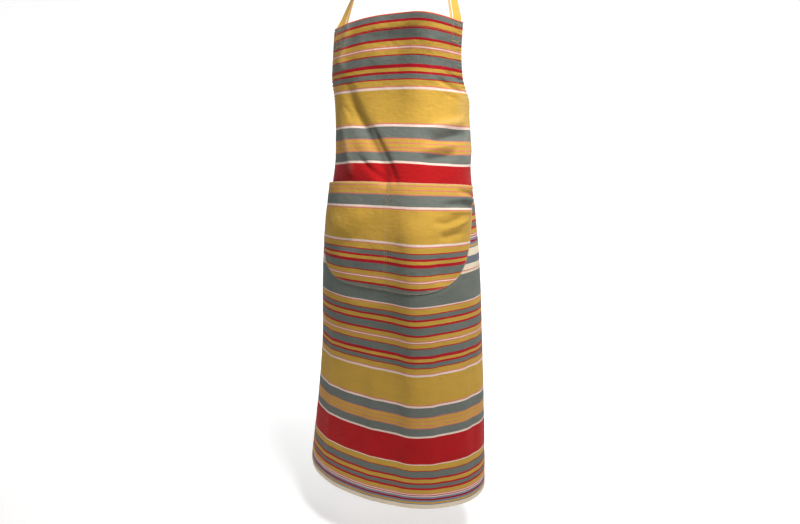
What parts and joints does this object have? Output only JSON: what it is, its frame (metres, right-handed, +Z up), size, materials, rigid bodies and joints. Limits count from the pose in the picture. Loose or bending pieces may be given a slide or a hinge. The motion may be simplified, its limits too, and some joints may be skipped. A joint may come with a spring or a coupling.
{
  "type": "bib apron",
  "caption": "Long striped cotton bib apron in its worn shape, with a neck loop, a divided U-shaped front pocket and waist ties in a bow.",
  "frame": {"origin": "middle of the neck loop at the wearer's nape, where the apron is held up", "axes": "+Z up, -Y the apron's front, +X to the right of someone who looks at its front"},
  "size_m": [0.4624, 0.344, 1.2328],
  "materials": {
    "striped_cotton": "woven cross-striped cotton in mustard, grey-green, red, pink and cream, matt",
    "red_cotton": "folded on a red stripe of the same cotton, matt",
    "cream_cotton": "the cloth's cream stripe at the hem, matt",
    "strap_cotton": "mustard striped cotton strap, topstitched, matt",
    "thread": "sewing thread"
  },
  "bodies": {
    "apron": {"front_panel": "striped_cotton", "top_hem": "red_cotton", "armhole_hem_left": "striped_cotton", "armhole_hem_right": "striped_cotton", "side_hem_left": "striped_cotton", "side_hem_right": "striped_cotton", "bottom_hem": "cream_cotton", "pocket": "striped_cotton", "pocket_top_hem": "striped_cotton", "pocket_centre_tack": "thread", "pocket_corner_tack_left": "thread", "pocket_corner_tack_right": "thread", "strap_tab_left": "strap_cotton", "strap_tab_right": "strap_cotton", "strap_tack_left": "thread", "strap_tack_right": "thread", "tie_left": "strap_cotton", "tie_right": "strap_cotton", "tie_tack_left": "thread", "tie_tack_right": "thread", "bow_knot": "strap_cotton"},
    "neck_loop": {"neck_loop": "strap_cotton"},
    "bow_loop_left": {"bow_loop_left": "strap_cotton"},
    "bow_loop_right": {"bow_loop_right": "strap_cotton"},
    "tie_tail_left": {"tie_tail_left": "strap_cotton"},
    "tie_tail_right": {"tie_tail_right": "strap_cotton"}
  },
  "joints": [
    {"name": "neck_loop_fold", "type": "hinge", "parent": "apron", "child": "neck_loop", "pos_m": [0.0026, -0.1695, -0.1545], "axis": [0.993, -0.1179, -0.0045], "range_deg": [0, 120]},
    {"name": "bow_loop_left_swing", "type": "hinge", "parent": "apron", "child": "bow_loop_left", "pos_m": [-0.015, 0.045, -0.444], "axis": [0, 1, 0], "range_deg": [0, 30]},
    {"name": "bow_loop_right_swing", "type": "hinge", "parent": "apron", "child": "bow_loop_right", "pos_m": [-0.015, 0.045, -0.444], "axis": [0, -1, 0], "range_deg": [0, 30]},
    {"name": "tie_tail_left_swing", "type": "hinge", "parent": "apron", "child": "tie_tail_left", "pos_m": [-0.015, 0.045, -0.444], "axis": [1, 0, 0], "range_deg": [0, 45]},
    {"name": "tie_tail_right_swing", "type": "hinge", "parent": "apron", "child": "tie_tail_right", "pos_m": [-0.015, 0.045, -0.444], "axis": [1, 0, 0], "range_deg": [0, 45]}
  ]
}
